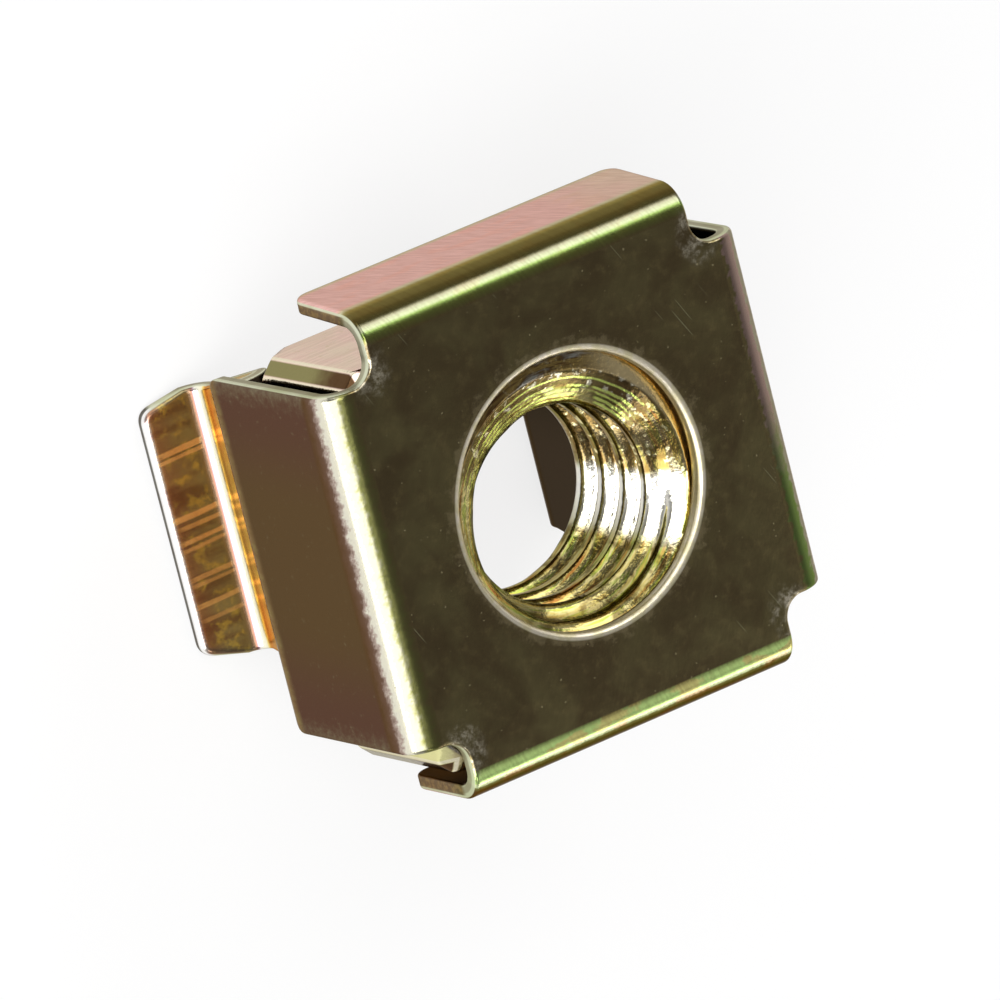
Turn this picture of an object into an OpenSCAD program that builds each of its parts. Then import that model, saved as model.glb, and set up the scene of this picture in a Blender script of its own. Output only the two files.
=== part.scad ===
// Rack cage nut: a square nut held loosely in a folded spring-steel cage.
// The back plate faces up and the two snap-in legs point down, so the part
// stands on the lips that hook over the front of a rack rail. The shoulders
// bear on the back of the rail, and the screw comes up between the legs.
// Millimetres, +Z up, origin under the middle of the plate's hole.

/* [Thread] */
// Nominal size of the thread
thread_size = 6; // [4:0.5:8]
// Pitch of the thread
thread_pitch = 1; // [0.5:0.05:1.25]
// Depth of the thread, as a share of its pitch
thread_depth = 0.425; // [0.35:0.005:0.55]
// How much wider the mouth of the lead-in is than the thread
lead_in_over = 1; // [0.2:0.1:1.5]
// Angle of the lead-in cone, measured across it
lead_in_angle = 120; // [90:5:130]
// How much wider the relief where the screw enters is than the thread
entry_relief_over = 0.6; // [0.2:0.1:1.5]
// Angle of the relief cone, measured across it
entry_relief_angle = 90; // [80:5:130]

/* [Nut] */
// Width across the flats of the square nut
nut_width = 10.8; // [10.2:0.1:14]
// Thickness of the nut
nut_thickness = 4.7; // [3.2:0.1:6]
// Flat cut across each upright corner of the nut
nut_corner = 0.4; // [0.1:0.05:1.2]
// Height of the turned chamfer where it runs out at a corner
nut_chamfer = 0.45; // [0.1:0.05:1]
// Free play of the nut toward each wall
nut_play_x = 0.7; // [0.35:0.05:1]
// Free play of the nut toward each flange, measured with the nut centred
nut_play_y = 0.75; // [0.3:0.05:1]
// Gap between the nut and the back plate
nut_gap_plate = 0.15; // [0.1:0.05:0.6]
// Gap between the nut and the shoulders
nut_gap_shoulder = 0.55; // [0.05:0.05:0.8]
// Gap between the nut, where it hangs, and the lower flange
nut_gap_flange = 0.3; // [0.1:0.05:0.75]

/* [Cage] */
// Thickness of the sheet
sheet_t = 0.4; // [0.3:0.05:0.6]
// Inside radius of every fold
bend_r = 0.45; // [0.2:0.05:0.5]
// How much wider the clearance hole in the back plate is than the thread
plate_hole_over = 1.15; // [0.4:0.05:2.5]
// Rounding of the hole's outer edge
hole_edge_r = 0.15; // [0.05:0.01:0.25]
// Height of the walls, along the flat of the nut
wall_height = 9.6; // [9:0.1:11]
// Length of the flanges above and below the nut
flange_length = 10; // [7:0.1:11]
// Depth of the flanges from the face of the back plate
flange_depth = 3.2; // [2:0.1:4.5]
// Outward lean of the upper flange
upper_flange_splay = 4; // [0:1:10]
// Corner radius at the free edge of the flanges
flange_corner_r = 0.45; // [0.1:0.05:1]
// Radius in the corner notches of the back plate
notch_r = 0.6; // [0.2:0.05:0.65]

/* [Snap-in legs] */
// Side of the square hole in the rail
rail_hole = 9.5; // [9:0.1:10.2]
// Clearance between each leg and the side of the rail hole
leg_clearance = 0.05; // [0:0.05:0.3]
// Thickest rail panel that the legs take
panel_max = 3.2; // [1.2:0.1:4]
// Spare room over the thickest panel
panel_clearance = 0.1; // [0.05:0.05:0.4]
// Width of the shoulder and of the leg where it leaves it
leg_width_base = 8.7; // [7.4:0.1:9]
// Width of a leg at the fold of the lip
leg_width_lip = 7.2; // [6.7:0.1:8.4]
// Width of the lip at its free end
lip_width_tip = 6.6; // [4:0.1:7.1]
// Reach of the lip beyond the side of the leg
lip_reach = 1.6; // [0.9:0.05:2]
// Droop of the lip below square with the leg
lip_droop = 13; // [0:1:30]
// Clipped corners at the free end of the lip
lip_corner = 0.1; // [0.05:0.05:0.8]

/* [Hidden] */
$fn = 96;
eps = 0.01;

bend_outer = bend_r + sheet_t;
nut_bay = nut_gap_plate + nut_thickness + nut_gap_shoulder;
cage_width = nut_width + 2 * (nut_play_x + sheet_t);
cage_height = nut_width + 2 * (nut_play_y + sheet_t);
shoulder_depth = nut_bay + 2 * sheet_t;
leg_x = rail_hole / 2 - leg_clearance;
panel_gap = panel_max + panel_clearance;

// Flat lengths between folds, from the plate to the tip of the lip.
wall_flat = shoulder_depth - 2 * bend_outer;
shoulder_flat = cage_width / 2 - bend_outer - leg_x - bend_r;
lip_fold = 90 - lip_droop;
lip_setback = bend_r * tan(lip_fold / 2);
leg_flat = panel_gap - bend_r - lip_setback;
lip_run = lip_reach / cos(lip_droop);
lip_flat = lip_run - lip_setback;
flange_flat = flange_depth - bend_outer;

lip_drop = lip_run * sin(lip_droop) + sheet_t * cos(lip_droop);
total_height = shoulder_depth + panel_gap + lip_drop;
lip_zone = shoulder_depth + panel_gap - lip_setback;

thread_bore_d = thread_size - 2 * thread_depth * thread_pitch;
lead_in_d = thread_size + lead_in_over;
entry_relief_d = thread_size + entry_relief_over;
plate_hole_d = thread_size + plate_hole_over;
nut_sag = nut_play_y - nut_gap_flange;
nut_top = total_height - sheet_t - nut_gap_plate;
nut_bottom = nut_top - nut_thickness;
lead_in_h = (lead_in_d - thread_bore_d) / 2 / tan(lead_in_angle / 2);
entry_relief_h = (entry_relief_d - thread_bore_d) / 2 / tan(entry_relief_angle / 2);

// A straight run of sheet seen on edge: the outer face is the line y = 0.
module run(length) {
    translate([0, -sheet_t]) square([length, sheet_t]);
    translate([length, 0]) children();
}

// The quarter-ring section of a fold, from straight up round to the angle given.
module fold_ring(angle) {
    half = angle / 2 + 5;
    reach = 4 * bend_outer;
    intersection() {
        difference() {
            circle(bend_outer);
            circle(bend_r);
        }
        polygon([[0, 0], [0, reach], [reach * sin(half), reach], [reach * sin(half), reach * cos(half)]]);
    }
}

// A fold away from the outer face, drawn half in the frame on each side of it.
module fold_in(angle) {
    translate([0, -bend_outer]) {
        fold_ring(angle);
        rotate(-angle) {
            mirror([1, 0]) fold_ring(angle);
            translate([0, bend_outer]) children();
        }
    }
}

// A fold toward the outer face.
module fold_out(angle) {
    translate([0, bend_r]) mirror([0, 1]) {
        fold_ring(angle);
        rotate(-angle) {
            mirror([1, 0]) fold_ring(angle);
            mirror([0, 1]) translate([0, -bend_r]) children();
        }
    }
}

// Section of one side of the cage: wall, shoulder, leg and lip.
module side_section() {
    fold_in(90) run(wall_flat)
        fold_in(90) run(shoulder_flat)
            fold_out(90) run(leg_flat)
                fold_out(lip_fold) run(lip_flat);
}

// Outline of a side seen square to the wall: the wall with rounded lower
// corners, the narrower shoulder, the leg that tapers, and the lip.
module side_view() {
    half_wall = wall_height / 2;
    half_base = leg_width_base / 2;
    half_lip = leg_width_lip / 2;
    corner = half_wall - half_base;
    corner_y = corner - shoulder_depth + sheet_t;
    translate([-half_wall, corner_y]) square([wall_height, 1 - corner_y]);
    for (y = [-1, 1])
        translate([y * half_base, corner_y]) circle(corner);
    polygon([
        [-half_base, 0], [-half_base, -shoulder_depth], [-half_lip, -lip_zone], [-half_lip, -total_height - 1],
        [half_lip, -total_height - 1], [half_lip, -lip_zone], [half_base, -shoulder_depth], [half_base, 0]
    ]);
}

// What is cut from one end of the lip: the taper and the clipped corner.
module lip_trim() {
    half_lip = leg_width_lip / 2;
    half_tip = lip_width_tip / 2;
    start_x = leg_x + bend_r;
    tip_x = leg_x + lip_reach;
    slope = (half_lip - half_tip) / (tip_x - start_x);
    polygon([
        [start_x, half_lip], [tip_x - lip_corner, half_tip + slope * lip_corner],
        [tip_x, half_tip - lip_corner], [tip_x + 1, half_tip - lip_corner],
        [tip_x + 1, half_lip + 1], [start_x, half_lip + 1]
    ]);
}

module side() {
    leg_middle = shoulder_depth + panel_gap / 2;
    difference() {
        intersection() {
            translate([cage_width / 2 - bend_outer, 0, 0])
                rotate([90, 0, 0])
                    linear_extrude(wall_height, center = true) side_section();
            rotate([90, 0, 90])
                linear_extrude(cage_width) side_view();
        }
        for (end = [0, 1])
            mirror([0, end, 0])
                translate([0, 0, -total_height - 1])
                    linear_extrude(total_height + 1 - leg_middle) lip_trim();
    }
}

// A flange: a fold along the plate's edge and a flat with rounded corners.
module flange(splay) {
    fold_y = cage_height / 2 - bend_outer;
    straight = flange_flat - flange_corner_r;
    translate([0, fold_y, 0])
        rotate([90, 0, 90])
            linear_extrude(flange_length, center = true)
                fold_in(90 - splay) run(straight);
    translate([0, fold_y, -bend_outer])
        rotate([splay, 0, 0])
            translate([0, bend_r, -straight])
                rotate([-90, 0, 0])
                    linear_extrude(sheet_t) flange_end();
}

// The free end of a flange, with a quarter round at each corner.
module flange_end() {
    half = flange_length / 2 - flange_corner_r;
    translate([-half, 0]) square([2 * half, flange_corner_r]);
    for (side = [-1, 1])
        translate([side * half, 0])
            intersection() {
                circle(flange_corner_r);
                translate([side > 0 ? 0 : -flange_corner_r, 0]) square(flange_corner_r);
            }
}

// The flat of the back plate: a cross with a radius in each corner notch.
module plate_outline() {
    flat_x = cage_width / 2 - bend_outer;
    flat_y = cage_height / 2 - bend_outer;
    half_x = flange_length / 2;
    half_y = wall_height / 2;
    notch = min(notch_r, flat_x - half_x, flat_y - half_y);
    square([2 * flat_x, 2 * half_y], center = true);
    square([2 * half_x, 2 * flat_y], center = true);
    for (x = [-1, 1], y = [-1, 1])
        scale([x, y])
            translate([half_x, half_y])
                difference() {
                    translate([-eps, -eps]) square(notch + eps);
                    translate([notch, notch]) circle(notch);
                }
}

// The clearance hole, with its outer edge rounded over.
module plate_hole() {
    hole_r = plate_hole_d / 2;
    translate([0, 0, -sheet_t - 1]) cylinder(h = sheet_t + 2, d = plate_hole_d);
    translate([0, 0, -hole_edge_r])
        rotate_extrude()
            difference() {
                square([hole_r + hole_edge_r, hole_edge_r + 1]);
                translate([hole_r + hole_edge_r, 0]) circle(hole_edge_r);
            }
}

module cage() {
    color("#8f8040")
        translate([0, 0, total_height]) {
            difference() {
                translate([0, 0, -sheet_t]) linear_extrude(sheet_t) plate_outline();
                plate_hole();
            }
            side();
            mirror([1, 0, 0]) side();
            flange(upper_flange_splay);
            mirror([0, 1, 0]) flange(0);
        }
}

// Square blank with cut corners, turned at both faces.
module nut_blank() {
    half = nut_width / 2;
    corner_r = sqrt(2) * (half - nut_corner / 2);
    intersection() {
        linear_extrude(nut_thickness)
            polygon([
                for (quarter = [0:3], end = [0, 1])
                    let (a = 90 * quarter, v = end == 0 ? half - nut_corner : half, u = end == 0 ? half : half - nut_corner)
                    [u * cos(a) - v * sin(a), u * sin(a) + v * cos(a)]
            ]);
        rotate_extrude()
            polygon([
                [0, 0], [corner_r - nut_chamfer, 0], [corner_r + eps, nut_chamfer + eps],
                [corner_r + eps, nut_thickness - nut_chamfer - eps],
                [corner_r - nut_chamfer, nut_thickness], [0, nut_thickness]
            ]);
    }
}

// The hole through the nut: relief cone, bore and lead-in cone in one turning,
// which runs past both faces.
module nut_bore() {
    past = 1;
    bore_r = thread_bore_d / 2;
    rotate_extrude()
        polygon([
            [0, -past], [entry_relief_d / 2 + past * tan(entry_relief_angle / 2), -past],
            [bore_r, entry_relief_h], [bore_r, nut_thickness - lead_in_h],
            [lead_in_d / 2 + past * tan(lead_in_angle / 2), nut_thickness + past], [0, nut_thickness + past]
        ]);
}

module square_nut() {
    color("#c9a85e")
        translate([0, -nut_sag, nut_bottom])
            difference() {
                nut_blank();
                nut_bore();
            }
}

cage();
square_nut();
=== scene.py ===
import math

import bmesh
import bpy
from mathutils import Matrix, Vector
from mathutils.geometry import delaunay_2d_cdt


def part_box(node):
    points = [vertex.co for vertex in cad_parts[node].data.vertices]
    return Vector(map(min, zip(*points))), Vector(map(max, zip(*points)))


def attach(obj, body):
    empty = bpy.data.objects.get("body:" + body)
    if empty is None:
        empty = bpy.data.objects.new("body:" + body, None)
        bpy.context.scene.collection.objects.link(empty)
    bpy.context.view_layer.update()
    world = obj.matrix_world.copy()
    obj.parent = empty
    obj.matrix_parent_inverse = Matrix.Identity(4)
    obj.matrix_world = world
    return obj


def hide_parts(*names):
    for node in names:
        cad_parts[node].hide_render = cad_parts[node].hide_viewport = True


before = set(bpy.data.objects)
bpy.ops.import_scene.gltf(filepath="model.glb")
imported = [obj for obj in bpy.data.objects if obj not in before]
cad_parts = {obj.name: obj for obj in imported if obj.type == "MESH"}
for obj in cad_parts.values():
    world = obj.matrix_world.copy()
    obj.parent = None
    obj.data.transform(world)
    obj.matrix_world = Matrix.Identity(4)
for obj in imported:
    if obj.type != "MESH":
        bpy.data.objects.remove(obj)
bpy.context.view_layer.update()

# ---------------------------------------------------------------- sizes, mm
MM = 1000                         # mm in a metre
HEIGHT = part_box("cage")[1].z * MM
SHEET = 0.4
BEND_IN = 0.45
BEND_OUT = BEND_IN + SHEET
CAGE_X, CAGE_Y = 6.5, 6.55        # half of the size over the folds
PLATE_X = CAGE_X - BEND_OUT       # where the side folds start
PLATE_Y = CAGE_Y - BEND_OUT       # where the flange folds start
WALL_HALF = 4.8
FLANGE_HALF = 5.0
NOTCH_R = 0.6
SHOULDER = 6.2                    # plate face to the face that bears on the rail
LEG_X = 4.7                       # a leg's outer face
PANEL = 3.3                       # from the shoulder to the lip, at the leg
BASE_HALF = 4.35                  # half widths: the leg at the shoulder,
LIP_HALF = 3.6                    # the leg at the lip's fold
TIP_HALF = 3.3                    # and the lip's free end
LIP_REACH = 1.6
LIP_DROOP = 13.0                  # degrees, as SPLAY
SPLAY = 4.0                       # lean of the upper flange
FLANGE_FLAT = 3.2 - BEND_OUT
FLANGE_CORNER = 0.45
TIP_CORNER = 0.34
HOLE_R = 3.575
EDGE_OUT = 0.11                   # rounding of the sheet's edges, outer face
EDGE_IN = 0.06                    # and inner face
EDGE_HOLE = 0.15                  # and round the hole, outer face
TIP_SOFTER = 0.6                  # how much larger the rounding is at the lip's free end,
TIP_FROM, TIP_OVER = 0.9, 0.6     # and where it starts before the end and over what length it grows
BEYOND = 0.05                     # from a rounded edge to the ring of faces beside it
FOLD_STEP = 5.0                   # degrees of a fold from one row of faces to the next
FOLD_GAP = 0.05                   # from a fold to the row beside it
ROW_GAP = 0.012                   # rows closer than this are left out
PLATE_GAP = 0.02                  # from a fold to the last point of the plate
LIP_CLEAR, FLANGE_CLEAR = 0.06, 0.03    # least distance from a row to an eased corner
TIP_BACK = 0.5                    # how far back from the lip's end its edge's direction is taken
LEAST_COS = 0.6                   # limits how far a corner's rings are pushed out
HOLE_POINTS = 144


def smooth(t):
    return t * t * (3 - 2 * t)


def clamped(t):
    return max(0.0, min(1.0, t))


def arc_point(cx, cy, radius, degrees):
    t = math.radians(degrees)
    return cx + radius * math.cos(t), cy + radius * math.sin(t)


def circle(cy, radius, count):
    return [arc_point(0, cy, radius, 360 * i / count) for i in range(count)]


def curve(start, corner, end, steps):
    """Points of the quadratic curve that eases a corner."""
    found = []
    for i in range(steps + 1):
        t = i / steps
        found.append(((1 - t) ** 2) * start + 2 * t * (1 - t) * corner + t * t * end)
    return found


# ------------------------------------------------------- the folded sheet
def inward(h):
    """The way into the sheet where its outer face runs at angle h."""
    return math.sin(h), -math.cos(h)


class Arm:
    """Section of one arm of the cage, walked along its outer face from the plate."""

    def __init__(self):
        self.parts, self.length = [], 0.0
        self.x, self.z, self.h = 0.0, 0.0, 0.0

    def run(self, length):
        self.parts.append(("run", self.length, length, self.x, self.z, self.h))
        self.x += length * math.cos(self.h)
        self.z += length * math.sin(self.h)
        self.length += length
        return self

    def fold(self, degrees, outward=False):
        angle = math.radians(degrees)
        arc = angle * (BEND_IN + BEND_OUT) / 2
        nx, nz = inward(self.h)
        reach = -BEND_IN if outward else BEND_OUT
        cx, cz = self.x + reach * nx, self.z + reach * nz
        self.parts.append(("out" if outward else "in", self.length, arc, cx, cz, self.h, angle))
        self.h += angle if outward else -angle
        nx, nz = inward(self.h)
        self.x, self.z = cx - reach * nx, cz - reach * nz
        self.length += arc
        return self

    def at(self, u):
        """x and z on the outer face and the inward normal, u mm along the middle of the sheet."""
        for part in self.parts:
            if u <= part[1] + part[2] + 1e-9 or part is self.parts[-1]:
                break
        if part[0] == "run":
            start, _, x, z, h = part[1:]
            d = u - start
            nx, nz = inward(h)
            return x + d * math.cos(h), z + d * math.sin(h), nx, nz
        kind, start, arc, cx, cz, h, angle = part
        turn = (u - start) / arc * angle
        h += turn if kind == "out" else -turn
        reach = -BEND_IN if kind == "out" else BEND_OUT
        nx, nz = inward(h)
        return cx - reach * nx, cz - reach * nz, nx, nz

    def stations(self):
        """Where the rows of faces go: close together in the folds, a pair beside each."""
        found = []
        for part in self.parts:
            start, end = part[1], part[1] + part[2]
            if part[0] == "run":
                found += [u for u in (start + FOLD_GAP, end - FOLD_GAP) if start < u < end]
            else:
                n = max(2, round(math.degrees(part[6]) / FOLD_STEP))
                found += [start + part[2] * i / n for i in range(n + 1)]
        return found


SETBACK = BEND_IN * math.tan(math.radians(90 - LIP_DROOP) / 2)
SIDE = Arm().fold(90).run(SHOULDER - 2 * BEND_OUT).fold(90)
SIDE.run(CAGE_X - BEND_OUT - LEG_X - BEND_IN).fold(90, True).run(PANEL - BEND_IN - SETBACK)
SIDE.fold(90 - LIP_DROOP, True).run(LIP_REACH / math.cos(math.radians(LIP_DROOP)) - SETBACK)
UPPER = Arm().fold(90 - SPLAY).run(FLANGE_FLAT)
LOWER = Arm().fold(90).run(FLANGE_FLAT)
LIP_ZONE = SHOULDER + PANEL - SETBACK
WALL_ROUND = WALL_HALF - BASE_HALF    # radius of the wall's lower corners
LEG_U = 6                             # mm along the arm, between the shoulder and the leg's fold


def middle(arm, u):
    x, z, nx, nz = arm.at(u)
    return x + nx * SHEET / 2, z + nz * SHEET / 2


def side_half(u):
    """Half width of a side arm u mm along it."""
    x, z = middle(SIDE, u)
    x += PLATE_X
    round_z = WALL_ROUND - SHOULDER + SHEET
    if z > round_z:
        return WALL_HALF
    leg_face = LEG_X + BEND_IN
    if z > -SHOULDER + SHEET and x > leg_face and u < LEG_U:
        if z > round_z - WALL_ROUND:
            return BASE_HALF + math.sqrt(max(0.0, WALL_ROUND ** 2 - (z - round_z) ** 2))
        return BASE_HALF
    if z > -SHOULDER:
        return BASE_HALF
    if z > -LIP_ZONE:
        return BASE_HALF + (LIP_HALF - BASE_HALF) * (-SHOULDER - z) / (LIP_ZONE - SHOULDER)
    if x < leg_face:
        return LIP_HALF
    return LIP_HALF + (TIP_HALF - LIP_HALF) * (x - leg_face) / (LEG_X + LIP_REACH - leg_face)


def corner_stations():
    """Extra rows round the wall's lower corners, where the outline turns fast."""
    start = SIDE.parts[2][1]
    radius = (BEND_IN + BEND_OUT) / 2
    turns = (math.radians(a) for a in range(0, 91, 9))
    return [start + radius * math.asin(WALL_ROUND * math.sin(t) / radius) for t in turns]


def half_outline():
    """The side arm's and the notch's outline in the quarter +X +Y, as (X, Y, kind) on the flat pattern,
    from the tip of the lip to the flange's first fold."""
    tip = SIDE.length
    rows = sorted(set(round(u, 5) for u in SIDE.stations() + corner_stations()))
    keep = [rows[0]]
    for u in rows[1:]:
        if u - keep[-1] > ROW_GAP:
            keep.append(u)
    side = [(u, side_half(u)) for u in keep if u < tip - TIP_CORNER - LIP_CLEAR]
    corner = Vector((tip, TIP_HALF))
    before = corner + Vector((-TIP_BACK, side_half(tip - TIP_BACK) - TIP_HALF))
    end = corner - Vector((0, TIP_CORNER))
    tip_points = curve(corner + (before - corner).normalized() * TIP_CORNER, corner, end, 10)
    tip_points += [Vector((tip, end.y * (1 - i / 6))) for i in range(1, 6)]
    points = [(PLATE_X + p.x, p.y, "tip") for p in reversed(tip_points)]
    points += [(PLATE_X + u, w, "row") for u, w in reversed(side)]
    points.append((PLATE_X - PLATE_GAP, WALL_HALF, "plate"))
    for i in range(13):
        notch = arc_point(FLANGE_HALF + NOTCH_R, WALL_HALF + NOTCH_R, NOTCH_R, 270 - 90 * i / 12)
        points.append((*notch, "plate"))
    points.append((FLANGE_HALF, PLATE_Y - PLATE_GAP, "plate"))
    return points


def flange_half(arm):
    """The same for a flange, from its fold to its free edge."""
    rows = sorted(set(round(v, 5) for v in arm.stations()))
    end = arm.length
    points = [(FLANGE_HALF, PLATE_Y + v, "row") for v in rows if v < end - FLANGE_CORNER - FLANGE_CLEAR]
    cx, cy = FLANGE_HALF - FLANGE_CORNER, PLATE_Y + end - FLANGE_CORNER
    points += [(*arc_point(cx, cy, FLANGE_CORNER, 90 * i / 8), "tip") for i in range(9)]
    points += [(cx * (1 - i / 8), PLATE_Y + end, "tip") for i in range(1, 8)]
    return points


def outline():
    """The whole outline, anticlockwise, as a list of (X, Y, kind, arm)."""
    side, up, low = half_outline(), flange_half(UPPER), flange_half(LOWER)

    def tag(points, sx, sy, arm):
        return [(sx * x, sy * y, kind, arm) for x, y, kind in points]

    cut = next(i for i, p in enumerate(side) if p[2] == "plate")
    arm_part, notch = side[:cut], side[cut:]

    def quarter(sx, sy, arm, flange, name):
        return tag(arm_part, sx, sy, arm) + tag(notch, sx, sy, "plate") + tag(flange, sx, sy, name)

    loop = [(PLATE_X + SIDE.length, 0.0, "tip", "right")] + quarter(1, 1, "right", up, "up")
    loop += [(0.0, PLATE_Y + UPPER.length, "tip", "up")] + quarter(-1, 1, "left", up, "up")[::-1]
    loop += [(-PLATE_X - SIDE.length, 0.0, "tip", "left")] + quarter(-1, -1, "left", low, "low")
    loop += [(0.0, -PLATE_Y - LOWER.length, "tip", "low")] + quarter(1, -1, "right", low, "low")[::-1]
    return loop


def folded(X, Y, depth):
    """A point of the flat pattern, depth mm under its outer face, on the folded cage."""
    if abs(X) > PLATE_X:
        side = 1 if X > 0 else -1
        x, z, nx, nz = SIDE.at(abs(X) - PLATE_X)
        return side * (PLATE_X + x + nx * depth), Y, HEIGHT + z + nz * depth
    if abs(Y) > PLATE_Y:
        arm, side = (UPPER, 1) if Y > 0 else (LOWER, -1)
        y, z, ny, nz = arm.at(abs(Y) - PLATE_Y)
        return X, side * (PLATE_Y + y + ny * depth), HEIGHT + z + nz * depth
    return X, Y, HEIGHT - depth


def inward_normals(points):
    """Unit normals into an anticlockwise loop, longer at corners so offsets stay parallel."""
    n, found = len(points), []
    for i in range(n):
        a, b, c = points[i - 1], points[i], points[(i + 1) % n]
        d1, d2 = (b - a).normalized(), (c - b).normalized()
        n1, n2 = Vector((-d1.y, d1.x)), Vector((-d2.y, d2.x))
        m = (n1 + n2).normalized()
        found.append(m / max(LEAST_COS, m.dot(n1)))
    return found


def edge_profile(outer_r, steps):
    """(inset, depth) of the rings over a cut edge, from the outer face, with outer_r the rounding
    there, to the inner."""
    rings = [(outer_r + BEYOND, 0.0)]
    for i in range(steps + 1):
        t = math.radians(90 * i / steps)
        rings.append((outer_r * (1 - math.sin(t)), outer_r * (1 - math.cos(t))))
    for i in range(4):
        t = math.radians(90 * i / 3)
        rings.append((EDGE_IN * (1 - math.cos(t)), SHEET - EDGE_IN * (1 - math.sin(t))))
    rings.append((EDGE_IN + BEYOND, SHEET))
    return rings


def ring_faces(a, b):
    """The faces between two closed rings of vertices."""
    return [(a[i - 1], a[i], b[i], b[i - 1]) for i in range(len(a))]


def within(p, polygon):
    """Whether the point is inside the polygon."""
    inside = False
    for i, b in enumerate(polygon):
        a = polygon[i - 1]
        if (a.y > p.y) != (b.y > p.y) and p.x < (b.x - a.x) * (p.y - a.y) / (b.y - a.y) + a.x:
            inside = not inside
    return inside


def fill(outer, hole, ids, extra=()):
    """Triangles between two loops of points, as tuples of ids. extra holds pairs of places in the
    outer loop to join."""
    n, m = len(outer), len(hole)
    points = outer + hole
    edges = [(i, (i + 1) % n) for i in range(n)]
    edges += [(n + i, n + (i + 1) % m) for i in range(m)]
    placed, _, triangles, origin, _, _ = delaunay_2d_cdt(points, edges + list(extra), [], 0, 1e-7)
    if len(placed) != len(points):
        raise RuntimeError("the fill changed the number of points")
    found = []
    for tri in triangles:
        center = sum((placed[v] for v in tri), Vector((0, 0))) / 3
        source = [origin[v][0] for v in tri]
        if min(source) < n and within(center, outer):
            found.append(tuple(ids[i] for i in source))
    return found


def finish_mesh(name, verts, faces, flat=None):
    """An object from points in mm. The material of the cage reads "flat", the place on the flat
    pattern and the depth in the sheet, in mm."""
    mesh = bpy.data.meshes.new(name)
    mesh.from_pydata([[c / MM for c in p] for p in verts], [], faces)
    if flat:
        attribute = mesh.attributes.new("flat", "FLOAT_VECTOR", "POINT")
        attribute.data.foreach_set("vector", [c for p in flat for c in p])
    bm = bmesh.new()
    bm.from_mesh(mesh)
    if not flat:
        bmesh.ops.remove_doubles(bm, verts=bm.verts, dist=2e-6)
        bmesh.ops.dissolve_degenerate(bm, edges=bm.edges, dist=1e-7)
    bmesh.ops.recalc_face_normals(bm, faces=bm.faces)
    bm.to_mesh(mesh)
    bm.free()
    mesh.shade_smooth()
    mesh.validate()
    obj = bpy.data.objects.new(name, mesh)
    bpy.context.scene.collection.objects.link(obj)
    return obj


def build_cage():
    loop = outline()
    points = [Vector(p[:2]) for p in loop]
    verts, flat, faces = [], [], []

    def add(X, Y, depth):
        verts.append(folded(X, Y, depth))
        flat.append((X, Y, depth))
        return len(verts) - 1

    # the lip's free end is rounded more than the other edges
    soft = []
    for x, _, _, arm in loop:
        past = 0.0
        if arm in ("left", "right"):
            past = clamped((abs(x) - PLATE_X - SIDE.length + TIP_FROM) / TIP_OVER)
        soft.append(1 + TIP_SOFTER * smooth(past))
    rings = []
    for inset, depth in edge_profile(EDGE_OUT, 5):
        outer = depth <= EDGE_OUT and inset <= EDGE_OUT + BEYOND
        ring = []
        for p, n, f in zip(points, inward_normals(points), soft):
            f = f if outer else 1
            ring.append(add(p.x + n.x * inset * f, p.y + n.y * inset * f, depth * f))
        rings.append(ring)
    hole_rings = []
    for inset, depth in edge_profile(EDGE_HOLE, 6):
        around = circle(0, HOLE_R + inset, HOLE_POINTS)
        hole_rings.append([add(x, y, depth) for x, y in around])
    for a, b in zip(rings, rings[1:]):
        faces += ring_faces(b, a)
    for a, b in zip(hole_rings, hole_rings[1:]):
        faces += ring_faces(a, b)

    # the two faces of the sheet, with rows that run straight across each arm
    across = {}
    for i, (x, y, kind, arm) in enumerate(loop):
        if kind == "row":
            key = (arm, round(abs(x) if arm in ("right", "left") else abs(y), 4))
            across.setdefault(key, []).append(i)
    rows = [tuple(pair) for pair in across.values() if len(pair) == 2]
    for end in (0, -1):
        ring, hole = rings[end], hole_rings[end]
        places = [[Vector(flat[v][:2]) for v in part] for part in (ring, hole)]
        faces += fill(*places, ring + hole, rows)
    return finish_mesh("cage_sheet", verts, faces, flat)


# ----------------------------------------------------------------- the nut
NUT_LOW, NUT_HIGH = (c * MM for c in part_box("square_nut"))
NUT_HALF = (NUT_HIGH.x - NUT_LOW.x) / 2
NUT_Y = (NUT_HIGH.y + NUT_LOW.y) / 2
NUT_BOTTOM, NUT_TOP = NUT_LOW.z, NUT_HIGH.z
NUT_CORNER = 0.4
NUT_CHAMFER = 0.45                # turned chamfer over the corners
NUT_EASE = 0.1                    # rounding of the nut's edges
CORNER_SHARE = 0.4                # how much of that rounding the chamfered corners get
LEVEL_STEP = 0.05                 # from one ring of the chamfer to the next
BLEND = 0.05                      # rounding where the chamfer meets the sides
NUT_RIM = 0.06                    # from the rounding to the ring beside it, on the nut's faces
CREST_R = 2.575
ROOT_R = 3.03
CREST_FLAT, ROOT_FLAT = 0.13, 0.10    # half widths, as a part of the pitch
EASED = 0.35                      # how much of the flank is curved
PITCH = 1.0
LEAD_R = 3.5                      # mouth of the lead-in cone, 60 degrees from the axis
LEAD_SLOPE = math.tan(math.radians(60))
RELIEF_R = 3.3                    # mouth of the relief where the screw enters, 45 degrees
THREAD_COLUMNS, THREAD_ROWS = 180, 14    # round the thread, and along one pitch
OUTSIDE_COLUMNS = 180             # evenly spaced ones, round the nut's outside
ANGLE_GAP = 0.004                 # radians; columns closer than this are left out
FULL_TURN = 2 * math.pi


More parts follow.
